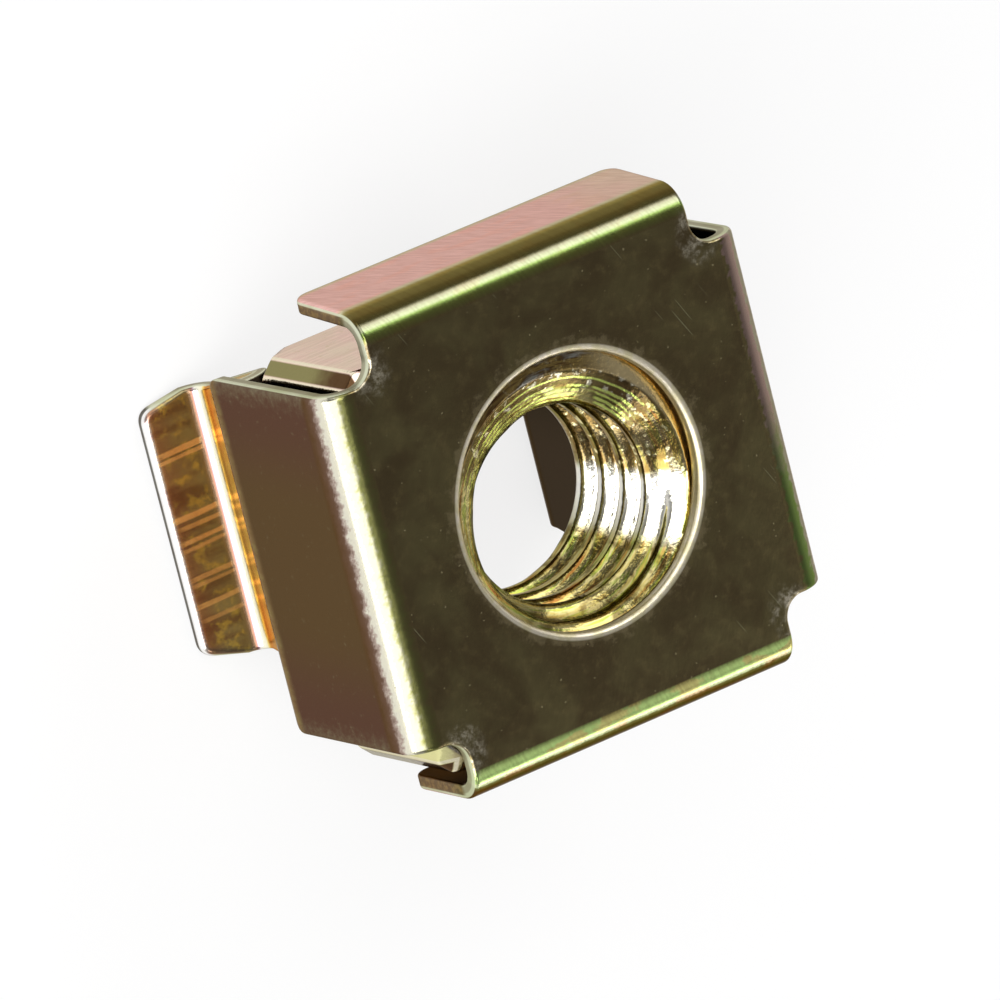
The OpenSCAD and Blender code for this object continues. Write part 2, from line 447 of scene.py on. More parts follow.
def nut_outline():
    """Points of the nut's square outline with its cut corners, their edges eased."""
    h, c = NUT_HALF, NUT_CORNER
    corners = []
    for q in range(4):
        a = math.radians(90 * q)
        for u, v in ((h, h - c), (h - c, h)):
            x, y = u * math.cos(a) - v * math.sin(a), u * math.sin(a) + v * math.cos(a)
            corners.append(Vector((x, y)))
    points = []
    for i, q in enumerate(corners):
        p, r = corners[i - 1], corners[(i + 1) % len(corners)]
        along = (r - q).normalized()
        end = q + along * NUT_EASE
        points += curve(q + (p - q).normalized() * NUT_EASE, q, end, 5)
        gap = (r - q).length - 2 * NUT_EASE
        steps = 10 if gap > 2 else 2
        points += [end + along * gap * k / steps for k in range(1, steps)]
    return points


def angle_of(p):
    return math.atan2(p.y, p.x) % FULL_TURN


def nut_angles(points):
    """Where the nut's outside has columns: at the outline's points, evenly, and closer at the corners."""
    angles = [angle_of(p) for p in points]
    angles += [math.radians(45 + 90 * q + d) % FULL_TURN for q in range(4) for d in range(-16, 17)]
    angles += [FULL_TURN * i / OUTSIDE_COLUMNS for i in range(OUTSIDE_COLUMNS)]
    merged = []
    for a in sorted(angles):
        if not merged or a - merged[-1] > ANGLE_GAP:
            merged.append(a)
    return merged


def ray_length(loop, angle):
    """How far a ray from the middle goes until it meets the loop."""
    d = Vector((math.cos(angle), math.sin(angle)))
    for i, b in enumerate(loop):
        a = loop[i - 1]
        e = b - a
        det = e.x * d.y - d.x * e.y
        if abs(det) < 1e-12:
            continue
        t = (e.x * a.y - a.x * e.y) / det
        s = (d.x * a.y - d.y * a.x) / det
        if t > 0 and -1e-6 <= s <= 1 + 1e-6:
            return t
    return NUT_HALF


def soft_min(a, b):
    """The smaller of the two, rounded where they meet."""
    t = clamped(0.5 + 0.5 * (b - a) / BLEND)
    return b * (1 - t) + a * t - BLEND * t * (1 - t)


def thread_profile():
    """Radius of the thread along one pitch, from a crest to the next, partly straight and partly
    eased between crest and root."""
    profile = []
    for k in range(THREAD_ROWS):
        from_crest = abs(((k / THREAD_ROWS + 0.5) % 1) - 0.5)
        s = clamped((from_crest - CREST_FLAT) / (0.5 - CREST_FLAT - ROOT_FLAT))
        profile.append(CREST_R + (ROOT_R - CREST_R) * (smooth(s) * EASED + s * (1 - EASED)))
    return profile


def build_nut():
    points = nut_outline()
    loop = sorted(points, key=angle_of)
    angles = nut_angles(points)
    reach = {a: ray_length(loop, a) for a in angles}
    corner_r = math.sqrt(2) * (NUT_HALF - NUT_CORNER / 2) - NUT_CHAMFER
    verts, faces = [], []

    def add_ring(points):
        start = len(verts)
        verts.extend(points)
        return list(range(start, len(verts)))

    def outside(depth, inset, z, short=0.0):
        """A ring of the outside, depth under a face, with its edge taken in by inset."""
        found = []
        for a in angles:
            r = soft_min(reach[a] - inset, corner_r + depth - inset * CORNER_SHARE) - short
            found.append((r * math.cos(a), r * math.sin(a) + NUT_Y, z))
        return add_ring(found)

    # (height below the face, inset of the rounding there)
    levels = []
    for i in range(6):
        t = math.radians(90 * i / 5)
        levels.append((NUT_EASE * (1 - math.cos(t)), NUT_EASE * (1 - math.sin(t))))
    levels += [(NUT_EASE + LEVEL_STEP * i, 0.0) for i in range(1, 11)]
    ends = ((NUT_TOP, -1, LEAD_R), (NUT_BOTTOM, 1, RELIEF_R))
    columns = []
    for face_z, sign, _ in ends:
        column = [outside(0.0, NUT_EASE, face_z, NUT_RIM)]
        column += [outside(depth, inset, face_z + sign * depth) for depth, inset in levels]
        for a, b in zip(column, column[1:]):
            faces += ring_faces(a, b)
        columns.append(column)
    faces += ring_faces(columns[0][-1], columns[1][-1])

    # the thread: columns that follow the helix, cut short by the two cones
    profile = thread_profile()
    rows = (math.ceil(NUT_TOP - NUT_BOTTOM) + 2) * THREAD_ROWS
    grid = []
    for c in range(THREAD_COLUMNS):
        angle = FULL_TURN * c / THREAD_COLUMNS
        column = []
        for g in range(rows + 1):
            z = NUT_BOTTOM - 1 + PITCH * (c / THREAD_COLUMNS + g / THREAD_ROWS)
            z = max(NUT_BOTTOM, min(NUT_TOP, z))
            lead = LEAD_R - (NUT_TOP - z) * LEAD_SLOPE
            relief = RELIEF_R - (z - NUT_BOTTOM)
            r = max(profile[g % THREAD_ROWS], lead, relief)
            column.append((r * math.cos(angle), r * math.sin(angle) + NUT_Y, z))
        grid.append(add_ring(column))
    for c, column in enumerate(grid):
        last = c == THREAD_COLUMNS - 1
        beside, shift = grid[(c + 1) % THREAD_COLUMNS], THREAD_ROWS if last else 0
        for g in range(rows):
            a, b = column[g], column[g + 1]
            if g + shift + 1 > rows:
                faces.append((a, b, beside[-1]))
            else:
                faces.append((a, b, beside[g + shift + 1], beside[g + shift]))
        if last:
            faces += [(column[0], beside[g + 1], beside[g]) for g in range(THREAD_ROWS)]

    # the flat faces between the thread's mouth and the outside
    for (face_z, _, mouth_r), column in zip(ends, columns):
        mouth = []
        for r in (mouth_r, mouth_r + BEYOND):
            mouth.append(add_ring([(x, y, face_z) for x, y in circle(NUT_Y, r, THREAD_COLUMNS)]))
        faces += ring_faces(*mouth)
        places = [[Vector(verts[v][:2]) for v in ring] for ring in (column[0], mouth[1])]
        faces += fill(*places, column[0] + mouth[1])
    return finish_mesh("nut_threaded", verts, faces)


cage = build_cage()
nut = build_nut()


# --------------------------------------------------------------- materials
PLATE_LIGHT, FLANGE_LIGHT = 0.24, 0.98    # how bright the light is that these faces mirror
BEND_SPAN, LEG_SPAN = 1.6, 13.0           # how far along a side arm each of its two ramps goes
MOST_BASE = 0.98                          # no base colour is brighter than this


class Graph:
    """Short names for building a material's nodes."""

    def __init__(self, owner, shader="Principled BSDF"):
        self.tree = owner.node_tree
        self.shader = self.tree.nodes[shader]

    def add(self, kind, **values):
        made = self.tree.nodes.new(kind)
        for key, value in values.items():
            setattr(made, key, value)
        return made

    def link(self, source, target):
        if isinstance(source, (int, float)):
            target.default_value = source
        elif isinstance(source, tuple):
            target.default_value = source if len(source) == len(target.default_value) else (*source, 1)
        else:
            self.tree.links.new(source, target)

    def math(self, operation, a, b=0.0):
        made = self.add("ShaderNodeMath", operation=operation)
        self.link(a, made.inputs[0])
        self.link(b, made.inputs[1])
        return made.outputs[0]

    def times(self, a, b):
        return self.math("MULTIPLY", a, b)

    def plus(self, a, b):
        return self.math("ADD", a, b)

    def minus(self, a, b):
        return self.math("SUBTRACT", a, b)

    def ratio(self, a, b):
        return self.math("DIVIDE", a, b)

    def most(self, a, b):
        return self.math("MAXIMUM", a, b)

    def size(self, a):
        return self.math("ABSOLUTE", a)

    def hypot(self, a, b):
        return self.math("SQRT", self.plus(self.times(a, a), self.times(b, b)))

    def stray(self, noise, amount):
        """The noise around zero, times amount."""
        return self.times(self.minus(noise, 0.5), amount)

    def step(self, value, low, high):
        """0 at low, 1 at high, smooth between; low may be the larger."""
        made = self.add("ShaderNodeMapRange", interpolation_type="SMOOTHSTEP", clamp=True)
        names = ("From Min", "From Max", "To Min", "To Max")
        values = (high, low, 1.0, 0.0) if low > high else (low, high, 0.0, 1.0)
        self.link(value, made.inputs["Value"])
        for name, at in zip(names, values):
            made.inputs[name].default_value = at
        return made.outputs["Result"]

    def band(self, value, low, high, soft):
        """1 between low and high, fading over soft on each side."""
        return self.times(self.step(value, low - soft, low), self.step(value, high + soft, high))

    def mix(self, factor, a, b, amount=None, mode="MIX"):
        """a where the factor is 0 and b where it is 1, or amount of b there."""
        if amount is not None:
            factor = self.times(factor, amount)
        made = self.add("ShaderNodeMix", data_type="RGBA", blend_type=mode)
        self.link(factor, made.inputs[0])
        self.link(a, made.inputs[6])
        self.link(b, made.inputs[7])
        return made.outputs[2]

    def tinted(self, color, tint):
        return self.mix(1.0, color, tint, mode="MULTIPLY")

    def ramp(self, value, stops, span=None):
        """Colours by value, straight between the stops. With a span, stops and value run up to it."""
        if span is not None:
            value, stops = self.ratio(value, span), [(p / span, c) for p, c in stops]
        made = self.add("ShaderNodeValToRGB")
        ramp = made.color_ramp
        ramp.interpolation = "LINEAR"
        while len(ramp.elements) < len(stops):
            ramp.elements.new(0.5)
        for element, (place, color) in zip(ramp.elements, stops):
            element.position = place
            element.color = (*color, 1)
        self.link(value, made.inputs[0])
        return made.outputs[0]

    def noise(self, place, scale, detail, rough, distortion=0.0):
        made = self.add("ShaderNodeTexNoise")
        made.inputs["Scale"].default_value = scale
        made.inputs["Detail"].default_value = detail
        made.inputs["Roughness"].default_value = rough
        made.inputs["Distortion"].default_value = distortion
        self.link(place, made.inputs["Vector"])
        return made.outputs["Fac"]

    def drawn(self, place, angle, stretch, detail, rough):
        """Noise in streaks: the place turned by angle and stretched."""
        moved = self.add("ShaderNodeMapping")
        moved.inputs["Rotation"].default_value = (0, 0, math.radians(angle))
        self.link(place, moved.inputs["Vector"])
        again = self.add("ShaderNodeMapping")
        again.inputs["Scale"].default_value = stretch
        self.link(moved.outputs[0], again.inputs["Vector"])
        return self.noise(again.outputs[0], 1.0, detail, rough)

    def split(self, vector):
        parts = self.add("ShaderNodeSeparateXYZ")
        self.link(vector, parts.inputs[0])
        return parts.outputs

    def finish(self, color, rough, height, strength, distance):
        """Links the shader's colour and roughness, and bumps of the height."""
        self.link(color, self.shader.inputs["Base Color"])
        self.link(rough, self.shader.inputs["Roughness"])
        bump = self.add("ShaderNodeBump")
        bump.inputs["Strength"].default_value = strength
        bump.inputs["Distance"].default_value = distance
        self.link(height, bump.inputs["Height"])
        self.link(bump.outputs[0], self.shader.inputs["Normal"])


def srgb(r, g, b, level=1.0):
    """A colour as it looks, 0-255, as the linear base colour that shows it under light of this level."""
    def linear(c):
        c /= 255
        return c / 12.92 if c <= 0.04045 else ((c + 0.055) / 1.055) ** 2.4
    return tuple(min(MOST_BASE, linear(c) / level) for c in (r, g, b))


def plated(name, tint):
    """A metal material, with tint what its reflections take on at a glancing angle."""
    material = bpy.data.materials.new(name)
    material.use_nodes = True
    graph = Graph(material)
    graph.shader.inputs["Metallic"].default_value = 1.0
    graph.shader.inputs["Specular Tint"].default_value = (*tint, 1)
    return material, graph


def cage_material():
    """The cage's plating, by place on the flat pattern: X and Y, the depth D in the sheet, and u and
    v, how far a point is along a side arm and along a flange. All are in mm."""
    material, g = plated("cage_plating", (0.5, 0.45, 0.4))
    flat = g.add("ShaderNodeAttribute", attribute_name="flat").outputs["Vector"]
    X, Y, D = g.split(flat)
    u = g.minus(g.size(X), PLATE_X)
    v = g.minus(g.size(Y), PLATE_Y)
    on_side, on_flange = g.step(u, -0.02, 0.02), g.step(v, -0.02, 0.02)

    cloud = g.noise(flat, 0.5, 3, 0.6, 0.6)
    mottle = g.noise(flat, 2.4, 4, 0.65)
    grain = g.drawn(flat, 28, (9.0, 3.0, 3.0), 3, 0.75)
    ragged = g.minus(grain, 0.5)

    # the sides, from the plate's edge to the tip of the lip
    white, lilac = srgb(216, 212, 186, 2.1), srgb(176, 158, 146)
    brown, purple = srgb(97, 79, 58), srgb(96, 72, 62)
    wall = g.mix(g.step(g.size(Y), 1.5, 4.2), brown, purple)
    # painted highlight: the pale stops at 0.61 and 0.78 carry the side lamp's highlight on past where the
    # bend mirrors it
    bend_stops = [
        (0.0, srgb(60, 52, 34, 0.22)), (0.2, srgb(86, 86, 50, 0.5)), (0.3, srgb(154, 154, 92, 1.6)),
        (0.44, white), (0.55, white), (0.61, srgb(226, 222, 198)), (0.78, srgb(222, 218, 200)),
        (0.86, lilac), (0.98, srgb(112, 88, 74)), (1.4, srgb(94, 72, 50))]
    dust = g.noise(flat, 5.0, 4, 0.7)
    bend_u = g.plus(u, g.times(ragged, 0.30))
    bend_u = g.plus(bend_u, g.stray(mottle, 0.22))
    bend_u = g.plus(bend_u, g.stray(dust, 0.30))
    bend = g.ramp(bend_u, bend_stops, BEND_SPAN)
    worn_side = g.step(g.plus(g.size(Y), g.stray(dust, 1.5)), 4.2, 5.3)
    wall = g.mix(worn_side, wall, srgb(150, 146, 118), 0.5)
    wall = g.mix(g.step(dust, 0.60, 0.72), wall, srgb(134, 124, 100), 0.35)
    # where the left-hand bend turns pale, the right-hand one is green at -Y and brown at +Y
    above_middle = g.step(g.plus(Y, g.stray(mottle, 3.0)), -2.2, 0.6)
    right_bend = g.mix(above_middle, srgb(76, 96, 50, 0.5), srgb(122, 100, 98, 0.5))
    bend = g.mix(g.times(g.step(X, 0, 1), g.band(bend_u, 0.12, 0.36, 0.06)), bend, right_bend, 0.75)
    side = g.mix(g.step(u, 1.25, 1.5), bend, wall)

    # the cream white stops in the lip's fold, 10.68 to 11.06, and at its tip, 12.6 on: painted highlights
    # laid over the lamps' real reflection there
    leg_stops = [
        (5.3, srgb(102, 82, 60)), (6.0, srgb(190, 164, 122)), (7.9, srgb(204, 184, 144)),
        (10.2, srgb(196, 160, 108)), (10.5, srgb(218, 148, 80)), (10.6, srgb(228, 166, 86)),
        (10.68, srgb(250, 222, 128)), (10.76, srgb(252, 246, 214)), (11.06, srgb(252, 250, 236)),
        (11.10, srgb(196, 160, 180)), (11.16, srgb(140, 100, 84)), (11.5, srgb(160, 150, 112)),
        (12.0, srgb(160, 146, 112)), (12.4, srgb(160, 126, 98)), (12.52, srgb(176, 140, 110)),
        (12.6, srgb(250, 248, 240)), (12.7, srgb(252, 252, 248))]
    streak = g.drawn(flat, -4, (0.35, 2.6, 1.0), 2, 0.5)
    streak_fine = g.drawn(flat, -6, (0.5, 9.0, 1.0), 3, 0.6)
    lip = g.ramp(u, leg_stops, LEG_SPAN)
    mid_fold = g.times(g.band(u, 10.3, 10.62, 0.06), g.step(g.size(Y), 3.0, 1.2))
    lip = g.mix(mid_fold, lip, srgb(164, 152, 98), 0.75)
    on_leg, on_lip = g.step(u, 10.5, 10.2), g.step(u, 11.4, 11.5)
    rub = g.drawn(flat, 3, (0.45, 7.0, 1.0), 4, 0.7)
    lip = g.mix(g.times(on_leg, g.step(rub, 0.42, 0.64)), lip, g.tinted(lip, (0.72, 0.66, 0.62)), 0.5)
    lip = g.mix(g.times(on_leg, g.step(mottle, 0.46, 0.68)), lip, srgb(176, 172, 112), 0.35)
    lip = g.mix(g.times(on_lip, g.step(streak, 0.66, 0.34)), lip, g.tinted(lip, (0.66, 0.52, 0.52)))
    gold = g.times(g.step(mottle, 0.48, 0.66), g.times(on_lip, g.step(u, 12.55, 12.2)))
    lip = g.mix(gold, lip, srgb(206, 184, 96), 0.7)
    # bright scratches along the lip: place across it, half width, strength
    scratches = (
        (2.75, 0.05, 1.0), (2.56, 0.03, 0.8), (1.0, 0.05, 1.0), (0.74, 0.03, 0.7), (0.36, 0.04, 0.9),
        (0.16, 0.03, 0.7), (-0.62, 0.04, 0.7), (-0.80, 0.03, 0.6), (-1.35, 0.04, 0.7), (-1.75, 0.03, 0.5))
    across = g.plus(g.plus(Y, g.times(X, -0.10)), g.stray(streak_fine, 0.10))
    across = g.minus(across, 1.15)
    marks = None
    for place, wide, strong in scratches:
        mark = g.times(g.band(across, place - wide, place + wide, 0.05), strong)
        marks = mark if marks is None else g.most(marks, mark)
    ends = g.times(g.step(u, 11.2, 11.4), g.step(g.minus(u, g.times(streak, 0.9)), 12.2, 11.9))
    marks = g.times(marks, ends)
    lip = g.mix(marks, lip, srgb(255, 206, 146), 0.85)
    side = g.mix(g.step(u, 5.35, 5.7), side, lip)

    # the flanges, from the plate's edge to their free edge
    pink, tan = srgb(242, 196, 188, FLANGE_LIGHT), srgb(214, 208, 170, FLANGE_LIGHT)
    rise = g.plus(v, g.times(ragged, 0.05))
    top_stops = [
        (0.0, srgb(62, 54, 36, 0.22)), (0.17, srgb(96, 104, 52, 0.5)), (0.25, srgb(170, 200, 110, 1.5)),
        (0.31, srgb(226, 236, 186, 2.2)), (0.39, srgb(214, 212, 176, 2.4)), (0.47, srgb(110, 102, 60, 1.6)),
        (0.58, srgb(94, 82, 42, 0.95)), (0.78, srgb(102, 92, 52, 0.8)), (0.9, srgb(150, 138, 84, 0.95)),
        (1.02, tan), (1.2, pink), (3.0, pink), (3.22, tan)]
    top = g.ramp(rise, top_stops, UPPER.length)
    low_stops = [
        (0.0, srgb(84, 92, 54, 0.25)), (0.03, srgb(128, 144, 88, 0.5)), (0.12, srgb(154, 178, 110, 0.65)),
        (0.22, srgb(164, 190, 118, 0.65)), (0.28, srgb(172, 198, 122, 0.6)), (0.32, srgb(234, 246, 190)),
        (0.37, srgb(230, 242, 186)), (0.41, srgb(104, 100, 54, 0.6)), (0.5, srgb(76, 70, 38, 0.7)),
        (0.8, srgb(76, 66, 38, 0.8)), (1.1, tan), (1.6, pink), (3.0, pink), (3.22, tan)]
    rise = g.plus(rise, g.stray(dust, 0.08))
    low = g.ramp(rise, low_stops, UPPER.length)
    hue = g.drawn(flat, 0, (0.8, 2.0, 1.0), 3, 0.6)
    tint = g.plus(0.15, g.times(g.step(v, 1.0, 0.7), 0.6))
    low = g.mix(g.times(g.step(hue, 0.5, 0.58), tint), low, g.tinted(low, (1.3, 0.78, 0.84)))
    top = g.mix(g.step(hue, 0.5, 0.62), top, g.tinted(top, (1.06, 0.93, 0.86)), 0.5)
    flange = g.mix(g.step(Y, -0.01, 0.01), low, top)
    paler = g.times(g.step(g.plus(X, g.times(hue, 3.0)), 3.4, 6.4), g.step(v, 0.95, 1.2))
    flange = g.mix(paler, flange, srgb(226, 212, 184, FLANGE_LIGHT), 0.6)
    brushed = g.drawn(flat, 62, (1.2, 16.0, 1.0), 3, 0.7)
    flange = g.mix(g.step(brushed, 0.35, 0.65), g.tinted(flange, (0.86, 0.83, 0.82)), flange)

    # the plate: dark olive brown, faintly mottled, paler round the hole, painted highlights at the notches
    plate = g.mix(g.step(cloud, 0.35, 0.7), srgb(56, 48, 32, PLATE_LIGHT), srgb(67, 61, 40, PLATE_LIGHT))
    plate = g.mix(g.step(mottle, 0.5, 0.72), plate, srgb(78, 70, 46, PLATE_LIGHT), 0.35)
    dots = g.noise(flat, 7.0, 1, 0.5)
    plate = g.mix(g.step(dots, 0.735, 0.78), plate, srgb(130, 122, 96, PLATE_LIGHT), 0.5)
    scratch = g.drawn(flat, 63, (0.4, 15.0, 1.0), 1, 0.4)
    plate = g.mix(g.step(scratch, 0.755, 0.78), plate, srgb(150, 140, 110, PLATE_LIGHT), 0.3)
    radius = g.hypot(X, Y)
    halo = g.step(g.plus(radius, g.stray(mottle, 1.6)), 4.0, 3.7)
    plate = g.mix(halo, plate, srgb(108, 98, 74, PLATE_LIGHT), 0.4)
    color = g.mix(on_side, plate, side)
    color = g.mix(on_flange, color, flange)
    # painted highlights: pale patches beside the notches, where the plate dishes and catches the light
    from_notch = g.hypot(g.minus(g.size(X), 5.1), g.times(g.minus(g.size(Y), 5.1), 0.8))
    near = g.plus(from_notch, g.times(ragged, 0.5))
    painted_notch_highlight = g.times(g.step(mottle, 0.36, 0.66), g.step(dust, 0.36, 0.6))
    color = g.mix(g.times(g.step(near, 0.72, 0.35), painted_notch_highlight), color, srgb(240, 230, 206), 0.85)

    # the rim of the hole, a painted highlight; the cut edges; the inner face, in painted shade and painted
    # light
    # partly the cut edge's bright zinc, partly a painted highlight ring all round the hole's rounding
    rim_highlight = g.times(g.step(radius, 3.79, 3.73), g.step(D, 0.33, 0.25))
    rim_highlight_color = g.mix(g.step(mottle, 0.4, 0.6), srgb(250, 240, 218), srgb(232, 222, 184))
    color = g.mix(rim_highlight, color, rim_highlight_color, 0.95)
    # painted shade: the inner face, inside the cage, dark brown, darkest on the side arms at +Y
    painted_shade_inner_side = g.mix(g.step(Y, -1.5, 1.5), srgb(66, 58, 50), srgb(46, 44, 38))
    under = g.mix(on_side, srgb(72, 50, 34), painted_shade_inner_side)
    # painted light: pale gold on the inner face round the hole, in the gap over the nut
    under = g.mix(g.step(radius, 4.6, 4.0), under, srgb(228, 206, 158))
    color = g.mix(g.step(D, 0.36, 0.4), color, under)
    cut = g.times(g.band(D, 0.07, 0.37, 0.03), g.step(radius, 3.8, 3.9))
    cut_color = g.mix(g.step(cloud, 0.4, 0.6), srgb(226, 230, 204), srgb(206, 212, 176))
    on_end = g.times(g.step(v, 0.8, 1.05), g.step(D, 0.1, 0.14))
    shade = g.times(g.band(D, 0.2, 0.33, 0.05), g.step(u, 12.0, 11.4))
    cut_color = g.mix(shade, cut_color, srgb(112, 94, 70), 0.5)
    end_color = g.mix(g.step(dust, 0.45, 0.6), srgb(88, 74, 42), srgb(128, 108, 60))
    cut_color = g.mix(on_end, cut_color, end_color, 0.95)
    tip = g.mix(g.step(D, 0.12, 0.17), srgb(252, 252, 250), srgb(104, 108, 104))
    cut_color = g.mix(g.step(u, 12.3, 12.5), cut_color, tip)
    color = g.mix(cut, color, cut_color, 0.9)

    rough = g.plus(0.15, g.times(mottle, 0.14))
    rough = g.plus(rough, g.times(g.most(cut, rim_highlight), 0.16))
    g.finish(color, rough, g.plus(g.times(grain, 0.7), g.times(mottle, 0.6)), 0.5, 6e-6)
    return material


def nut_material():
    """The nut's plating, by place on the nut in mm: X, y from the middle of the bore, and Z."""
    material, g = plated("nut_plating", (0.7, 0.66, 0.6))
    scaled = g.add("ShaderNodeVectorMath", operation="SCALE")
    g.link(g.add("ShaderNodeTexCoord").outputs["Object"], scaled.inputs[0])
    scaled.inputs["Scale"].default_value = MM
    mm = scaled.outputs[0]
    X, Y, Z = g.split(mm)
    y = g.minus(Y, NUT_Y)
    radius = g.hypot(X, y)
    cloud = g.noise(mm, 0.5, 3, 0.6, 0.5)
    mottle = g.noise(mm, 1.6, 3, 0.6)
    fine = g.noise(mm, 5.0, 3, 0.6)

    # gold in the thread, with painted shade in its grooves, and streaks that run round it
    lean = g.ratio(y, radius)
    turn = g.add("ShaderNodeCombineXYZ")
    g.link(g.times(g.ratio(X, radius), 1.6), turn.inputs[0])
    g.link(g.times(lean, 1.6), turn.inputs[1])
    g.link(g.times(g.plus(radius, g.times(Z, 1.7)), 3.2), turn.inputs[2])
    streak = g.noise(turn.outputs[0], 1.0, 4, 0.6, 0.2)
    bore = g.ramp(streak, [
        (0.32, srgb(196, 140, 84)), (0.42, srgb(232, 216, 150)), (0.5, srgb(242, 230, 188)),
        (0.56, srgb(190, 210, 112)), (0.62, srgb(236, 216, 130)), (0.72, srgb(226, 160, 96))])
    # painted shade: darker base in the thread's grooves below the lead-in
    painted_groove_shade = g.times(g.step(radius, 2.7, 2.95), g.step(Z, NUT_TOP - 0.35, NUT_TOP - 0.7))
    bore = g.mix(painted_groove_shade, bore, srgb(92, 74, 34), 0.8)
    dark = g.step(g.noise(mm, 1.5, 3, 0.6, 0.3), 0.5, 0.64)
    bore = g.mix(dark, bore, srgb(104, 80, 44), 0.7)

    # base colours by place in the bore, fitted to the photograph: a painted highlight, a pale band on the
    # side +X low in Y; painted shade above it, speckled with painted glints; painted shade at both ends of
    # Y
    on_right = g.step(X, 0.2, 2.0)
    under, over = g.step(lean, -0.30, -0.72), g.step(lean, 0.35, 0.75)
    # painted shade: darker at both ends of Y
    shade = g.times(g.most(under, over), g.step(radius, 2.2, 2.5))
    # painted highlight: near white base in the band on the side +X, low in Y
    painted_highlight_band = g.times(g.band(lean, -0.56, -0.14, 0.12), g.step(radius, 3.45, 3.3))
    painted_highlight_band = g.times(painted_highlight_band, on_right)
    # painted shade above the highlight, speckled with painted glints
    painted_shade_above = g.times(g.band(lean, -0.02, 0.75, 0.14), on_right)
    painted_glints = g.step(g.noise(mm, 4.2, 2, 0.5), 0.58, 0.66)
    bore = g.mix(painted_shade_above, bore, g.mix(painted_glints, srgb(114, 88, 44), srgb(250, 238, 190)), 0.75)
    bore = g.mix(painted_highlight_band, bore, srgb(252, 250, 244), 0.85)
    bore = g.mix(shade, bore, g.tinted(bore, (0.42, 0.40, 0.24)), 0.85)

    # turned rings on the lead-in, painted yellow green highlights at the end +Y only, which are base
    # colours too
    wave = g.plus(radius, g.stray(mottle, 0.10))
    rings = None
    for place, wide in ((2.70, 0.015), (2.81, 0.022), (2.93, 0.012), (3.05, 0.020), (3.27, 0.012)):
        ring = g.band(wave, place - wide, place + wide, 0.03)
        rings = ring if rings is None else g.most(rings, ring)
    near_mouth = g.step(Z, NUT_TOP - 0.9, NUT_TOP - 0.6)
    # painted highlight: the rings show only at the end +Y, where light comes over the edge
    rings = g.times(rings, g.times(near_mouth, g.step(over, 0, 0.5)))
    rings = g.times(rings, g.step(g.noise(mm, 1.1, 3, 0.7), 0.38, 0.56))
    edge = g.times(g.times(g.step(radius, 2.95, 3.1), g.step(over, 0, 0.6)), near_mouth)
    flecks = g.step(g.noise(mm, 3.4, 3, 0.6), 0.55, 0.62)
    bore = g.mix(edge, bore, g.mix(flecks, srgb(104, 84, 54), srgb(224, 218, 196)), 0.8)
    bore = g.mix(rings, bore, srgb(222, 236, 130), 0.9)

    # its outside: pinkish sides, corners olive below and brown above, a painted cream highlight along their
    # edges
    least = g.math("MINIMUM", g.size(X), g.size(y))
    body = g.mix(g.step(cloud, 0.3, 0.7), srgb(246, 210, 200), srgb(236, 216, 194))
    lines = g.step(g.drawn(mm, 0, (0.5, 0.5, 9.0), 3, 0.7), 0.42, 0.62)
    body = g.mix(lines, body, g.tinted(body, (0.80, 0.74, 0.72)), 0.5)
    body = g.mix(g.step(fine, 0.60, 0.72), body, srgb(210, 190, 150), 0.5)
    low_side = g.mix(g.step(mottle, 0.42, 0.6), srgb(212, 200, 158), srgb(164, 150, 110), 0.6)
    low_side = g.mix(lines, low_side, srgb(150, 132, 92), 0.5)
    # painted glint: pale yellow at the far -X end of the side -Y
    painted_glint_far_left = g.step(g.plus(X, g.times(mottle, 0.8)), -4.5, -5.0)
    low_side = g.mix(painted_glint_far_left, low_side, srgb(226, 222, 160))
    body = g.mix(g.step(y, -3.5, -4.2), body, low_side)
    high = g.step(g.plus(Z, g.times(mottle, 1.2)), 8.0, 9.3)
    corner = g.mix(high, srgb(138, 132, 88), srgb(88, 64, 42))
    body = g.mix(g.step(least, 5.03, 5.07), body, corner)
    # painted highlight: a cream line along the rounded edges beside the corners
    body = g.mix(g.band(least, 4.95, 5.02, 0.03), body, srgb(240, 232, 204), 0.8)
    face = g.ramp(streak, [
        (0.4, srgb(104, 74, 44)), (0.5, srgb(176, 150, 90)), (0.56, srgb(110, 84, 48)),
        (0.66, srgb(180, 178, 168))])
    # painted light: the top face pale on the side +X, in the gap under the plate's rim
    face = g.mix(g.step(X, 1.0, 2.4), face, srgb(250, 226, 170))
    face = g.mix(g.step(g.noise(mm, 6.0, 3, 0.6), 0.54, 0.68), face, srgb(198, 184, 146), 0.6)
    body = g.mix(g.step(Z, NUT_TOP - 0.06, NUT_TOP - 0.02), body, face)
    color = g.mix(g.step(radius, 3.55, 3.45), body, bore)
    g.finish(color, g.plus(0.08, g.times(mottle, 0.14)), fine, 0.4, 3e-5)
    return material


cage.data.materials.append(cage_material())
nut.data.materials.append(nut_material())

for piece, cad, slot_name in ((cage, "cage", "cage_sheet"), (nut, "square_nut", "nut_steel")):
    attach(piece, "root")
    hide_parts(cad)

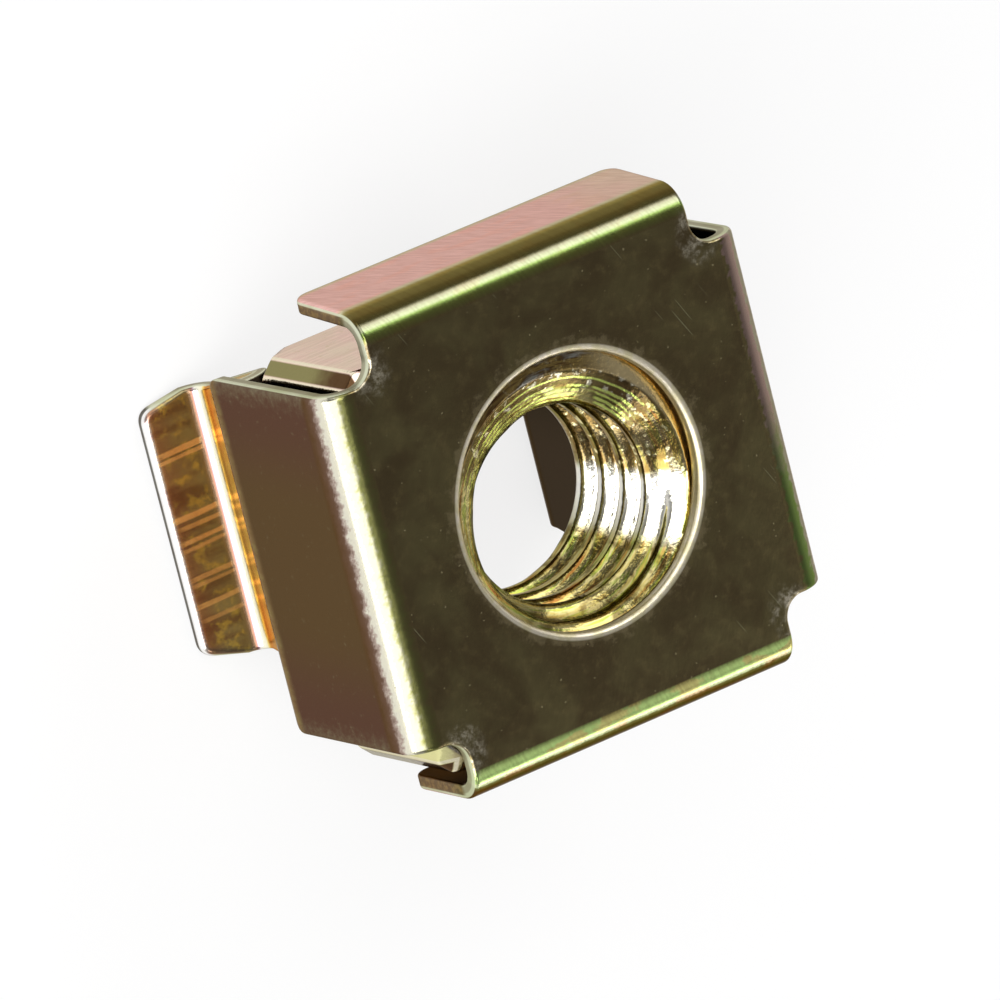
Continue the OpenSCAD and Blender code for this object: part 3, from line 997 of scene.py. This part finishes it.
# ------------------------------------------------------- floor, light, camera
# The floor is white paper. Where the camera, a mirror or glass shows it, three quarters of what it
# shows is its own glow, which keeps it as pale as the photograph's; it lights the part as paper only.
floor_mesh = bpy.data.meshes.new("floor")
floor_mesh.from_pydata([(-1, -1, 0), (1, -1, 0), (1, 1, 0), (-1, 1, 0)], [], [(0, 1, 2, 3)])
floor = bpy.data.objects.new("floor", floor_mesh)
bpy.context.scene.collection.objects.link(floor)
GLOW = 0.75
floor_paint = bpy.data.materials.new("floor_paint")
floor_paint.use_nodes = True
g = Graph(floor_paint)
g.tree.nodes.remove(g.shader)
output = next(n for n in g.tree.nodes if n.type == "OUTPUT_MATERIAL")
paper = g.add("ShaderNodeBsdfDiffuse")
paper.inputs["Color"].default_value = (0.94, 0.94, 0.94, 1)
glow = g.add("ShaderNodeEmission")
glow.inputs["Color"].default_value = (1, 1, 1, 1)
glow.inputs["Strength"].default_value = 1.0
rays = g.add("ShaderNodeLightPath")
seen = g.most(rays.outputs["Is Camera Ray"], rays.outputs["Is Glossy Ray"])
seen = g.most(seen, rays.outputs["Is Transmission Ray"])
mix = g.add("ShaderNodeMixShader")
g.link(g.times(seen, GLOW), mix.inputs[0])
g.link(paper.outputs[0], mix.inputs[1])
g.link(glow.outputs[0], mix.inputs[2])
g.link(mix.outputs[0], output.inputs["Surface"])
floor_mesh.materials.append(floor_paint)

world = bpy.data.worlds.new("studio")
bpy.context.scene.world = world
world.use_nodes = True
# pale at the horizon, dimmer overhead
g = Graph(world, "Background")
g.shader.inputs["Strength"].default_value = 1.0
way = g.split(g.add("ShaderNodeTexCoord").outputs["Generated"])
sky = g.mix(g.step(way[2], 0.66, 0.08), (0.2, 0.2, 0.2), (0.72, 0.72, 0.72))
g.link(sky, g.shader.inputs["Color"])

LAMP_DISTANCE = 0.4               # metres, from the point the lamps face
LAMP_AIM = 0.006                  # and how high that is


def placed(right, up, back, place):
    """The matrix of a lamp or camera at place that looks away from back."""
    return Matrix((*zip(right, up, back, place), (0, 0, 0, 1)))


def softbox(name, direction, wide, high, radiance):
    """A flat lamp that faces the object. wide and high are the angles it spans, in degrees, high being
    measured up and down, and radiance is what its surface shows in a mirror."""
    d = Vector(direction).normalized()
    data = bpy.data.lights.new(name, "AREA")
    data.shape = "RECTANGLE"
    data.size = 2 * LAMP_DISTANCE * math.tan(math.radians(wide / 2))
    data.size_y = 2 * LAMP_DISTANCE * math.tan(math.radians(high / 2))
    data.energy = radiance * math.pi * data.size * data.size_y
    lamp = bpy.data.objects.new(name, data)
    side = Vector((-d.y, d.x, 0)).normalized()
    lamp.matrix_world = placed(side, d.cross(side), d, d * LAMP_DISTANCE + Vector((0, 0, LAMP_AIM)))
    bpy.context.scene.collection.objects.link(lamp)


softbox("side", (-0.82, -0.265, 0.51), 32, 46, 3.8)
softbox("top", (-0.43, 0.07, 0.89), 30, 24, 4.5)
softbox("glint", (-0.27, -0.70, 0.66), 12, 9, 3.8)
softbox("low", (0.478, -0.825, 0.30), 32, 7, 3.0)
softbox("dim", (0.478, -0.56, 0.68), 34, 17, 0.55)
softbox("key", (0.478, 0.60, 0.64), 32, 24, 3.0)
softbox("fill", (-0.30, 0.72, 0.63), 44, 38, 1.6)

# the camera, fitted to the photograph
PHOTO_PX = 1000
PX_PER_MM = 39.72077130           # in the photograph, at the point the camera aims at
CAMERA_DISTANCE = 0.41730235      # metres, from there
SENSOR = 36
camera_data = bpy.data.cameras.new("camera")
camera = bpy.data.objects.new("camera", camera_data)
bpy.context.scene.collection.objects.link(camera)
right = Vector((0.80846458, -0.23768612, 0.53841464))
up = Vector((0.34358925, 0.93335635, -0.10388628))
back = Vector((-0.4778404, 0.26898186, 0.83625194))
aim = Vector((-0.00171594, 0.00030407, (HEIGHT - 1.07830803) / MM))
camera.matrix_world = placed(right, up, back, aim + back * CAMERA_DISTANCE)
camera_data.sensor_width = SENSOR
camera_data.lens = SENSOR * CAMERA_DISTANCE / (PHOTO_PX / PX_PER_MM / MM)
camera_data.clip_start, camera_data.clip_end = 0.01, 10
bpy.context.scene.camera = camera
bpy.context.scene.view_settings.view_transform = "Standard"
